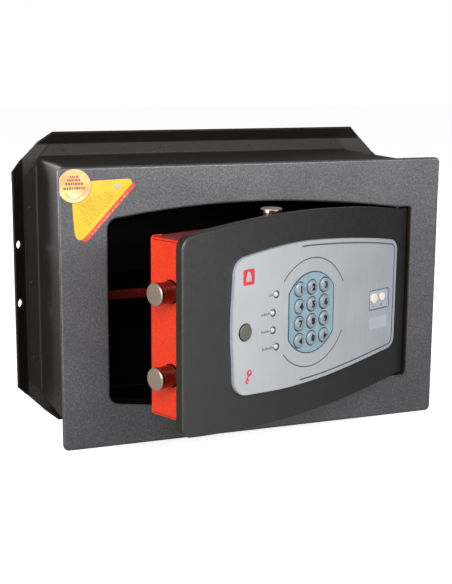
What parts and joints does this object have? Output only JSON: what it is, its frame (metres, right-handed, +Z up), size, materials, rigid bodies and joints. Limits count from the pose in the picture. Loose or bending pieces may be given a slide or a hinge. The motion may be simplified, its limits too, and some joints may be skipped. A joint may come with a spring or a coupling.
{
  "type": "wall safe",
  "caption": "Motorised wall safe for building into masonry: flanged steel body with anchoring back plate, arched keypad door swung open, round bolts and a red mechanism cover.",
  "frame": {"origin": "on the back plate's rear face, straight behind the centre of the front frame", "axes": "+Y into the wall, out of the back plate; +X to the right seen from the front, towards the door hinges; +Z up"},
  "size_m": [0.3396, 0.238, 0.2446],
  "materials": {
    "frame_paint": "satin textured metallic grey paint",
    "body_paint": "matt dark brown-black primer",
    "door_paint": "satin fine-textured dark grey paint",
    "fascia_silver": "fine horizontal brushing, satin",
    "keypad_blue": "satin pale blue",
    "key_grey": "satin light grey, slightly domed",
    "led_white": "translucent white lens",
    "window_grey": "pale grey recess",
    "contact_metal": "pale plated contact",
    "cover_olive": "satin olive grey",
    "red_paint": "glossy red paint",
    "nickel": "satin nickel plating",
    "carriage_steel": "zinc-plated sheet",
    "motor_metal": "plated motor can and gearbox",
    "nut_brass": "machined",
    "board_green": "solder mask",
    "holder_black": "moulded black",
    "cell_wrap": "plain wrapped cells",
    "label_yellow": "printed yellow film",
    "label_red": "printed red film",
    "seal_gold": "gold foil film"
  },
  "bodies": {
    "housing": {"front_frame": "frame_paint", "body_shell": "body_paint", "back_plate": "body_paint", "shelf": "red_paint", "hinge_socket_top": "body_paint", "hinge_socket_bottom": "body_paint", "corner_label": "label_yellow", "corner_label_band": "label_red", "round_seal": "seal_gold"},
    "door": {"door_plate": "door_paint", "hinge_pin_top": "nickel", "hinge_pin_bottom": "nickel", "fascia_plate": "fascia_silver", "keypad_panel": "keypad_blue", "led_1": "led_white", "led_2": "led_white", "led_3": "led_white", "led_4": "led_white", "contact_window": "window_grey", "contact_large": "contact_metal", "contact_small": "contact_metal", "override_housing": "nickel", "mechanism_cover": "red_paint", "cover_screw_1": "nickel", "cover_screw_2": "nickel", "cover_screw_3": "nickel", "cover_screw_4": "nickel", "battery_holder": "holder_black", "battery_cells": "cell_wrap", "control_board": "board_green", "gear_motor": "motor_metal", "guide_post_1": "nickel", "guide_post_2": "nickel"},
    "bolt_work": {"bolt_carriage": "carriage_steel", "drive_nut": "nut_brass", "bolt_side_upper": "nickel", "bolt_side_lower": "nickel"},
    "top_bolt": {"bolt_top": "nickel"},
    "bottom_bolt": {"bolt_bottom": "nickel"},
    "lead_screw": {"drive_screw": "nickel"},
    "lock_cover": {"override_cover": "cover_olive"},
    "lock_plug": {"override_plug": "nickel"},
    "battery_door": {"battery_lid": "red_paint"},
    "reset_key": {"reset_button": "holder_black"},
    "key_1_cap": {"key_1": "key_grey"},
    "key_2_cap": {"key_2": "key_grey"},
    "key_3_cap": {"key_3": "key_grey"},
    "key_4_cap": {"key_4": "key_grey"},
    "key_5_cap": {"key_5": "key_grey"},
    "key_6_cap": {"key_6": "key_grey"},
    "key_7_cap": {"key_7": "key_grey"},
    "key_8_cap": {"key_8": "key_grey"},
    "key_9_cap": {"key_9": "key_grey"},
    "key_left_cap": {"key_left": "key_grey"},
    "key_0_cap": {"key_0": "key_grey"},
    "key_right_cap": {"key_right": "key_grey"}
  },
  "joints": [
    {"name": "door_hinge", "type": "hinge", "parent": "housing", "child": "door", "pos_m": [0.119, -0.137, 0], "axis": [0, 0, 1], "range_deg": [-24.45, 75.55]},
    {"name": "bolt_work_slide", "type": "slide", "parent": "door", "child": "bolt_work", "axis": [-0.9103, -0.4139, 0], "range_m": [0, 0.016]},
    {"name": "top_bolt_slide", "type": "slide", "parent": "door", "child": "top_bolt", "axis": [0, 0, 1], "range_m": [0, 0.016]},
    {"name": "bottom_bolt_slide", "type": "slide", "parent": "door", "child": "bottom_bolt", "axis": [0, 0, -1], "range_m": [0, 0.016]},
    {"name": "lead_screw_spin", "type": "hinge", "parent": "door", "child": "lead_screw", "pos_m": [-0.06174, -0.19611, -0.006], "axis": [-0.9103, -0.4139, 0], "range_deg": [0, 1440]},
    {"name": "lock_cover_swing", "type": "hinge", "parent": "door", "child": "lock_cover", "pos_m": [-0.04262, -0.21763, -0.0014], "axis": [-0.4139, 0.9103, 0], "range_deg": [0, 150]},
    {"name": "lock_plug_turn", "type": "hinge", "parent": "door", "child": "lock_plug", "pos_m": [-0.04614, -0.20989, -0.0058], "axis": [-0.4139, 0.9103, 0], "range_deg": [0, 90]},
    {"name": "battery_door_hinge", "type": "hinge", "parent": "door", "child": "battery_door", "pos_m": [0.02043, -0.12799, 0], "axis": [0, 0, 1], "range_deg": [0, 100]},
    {"name": "reset_key_press", "type": "slide", "parent": "door", "child": "reset_key", "axis": [0.4139, -0.9103, 0], "range_m": [0, 0.001]},
    {"name": "key_1_press", "type": "slide", "parent": "door", "child": "key_1_cap", "axis": [-0.4139, 0.9103, 0], "range_m": [0, 0.0008]},
    {"name": "key_2_press", "type": "slide", "parent": "door", "child": "key_2_cap", "axis": [-0.4139, 0.9103, 0], "range_m": [0, 0.0008]},
    {"name": "key_3_press", "type": "slide", "parent": "door", "child": "key_3_cap", "axis": [-0.4139, 0.9103, 0], "range_m": [0, 0.0008]},
    {"name": "key_4_press", "type": "slide", "parent": "door", "child": "key_4_cap", "axis": [-0.4139, 0.9103, 0], "range_m": [0, 0.0008]},
    {"name": "key_5_press", "type": "slide", "parent": "door", "child": "key_5_cap", "axis": [-0.4139, 0.9103, 0], "range_m": [0, 0.0008]},
    {"name": "key_6_press", "type": "slide", "parent": "door", "child": "key_6_cap", "axis": [-0.4139, 0.9103, 0], "range_m": [0, 0.0008]},
    {"name": "key_7_press", "type": "slide", "parent": "door", "child": "key_7_cap", "axis": [-0.4139, 0.9103, 0], "range_m": [0, 0.0008]},
    {"name": "key_8_press", "type": "slide", "parent": "door", "child": "key_8_cap", "axis": [-0.4139, 0.9103, 0], "range_m": [0, 0.0008]},
    {"name": "key_9_press", "type": "slide", "parent": "door", "child": "key_9_cap", "axis": [-0.4139, 0.9103, 0], "range_m": [0, 0.0008]},
    {"name": "key_left_press", "type": "slide", "parent": "door", "child": "key_left_cap", "axis": [-0.4139, 0.9103, 0], "range_m": [0, 0.0008]},
    {"name": "key_0_press", "type": "slide", "parent": "door", "child": "key_0_cap", "axis": [-0.4139, 0.9103, 0], "range_m": [0, 0.0008]},
    {"name": "key_right_press", "type": "slide", "parent": "door", "child": "key_right_cap", "axis": [-0.4139, 0.9103, 0], "range_m": [0, 0.0008]}
  ],
  "couplings": [
    {"joint": "top_bolt_slide", "follows": "bolt_work_slide", "ratio": 1},
    {"joint": "bottom_bolt_slide", "follows": "bolt_work_slide", "ratio": 1},
    {"joint": "lead_screw_spin", "follows": "bolt_work_slide", "rad_per_m": 1570.8}
  ]
}
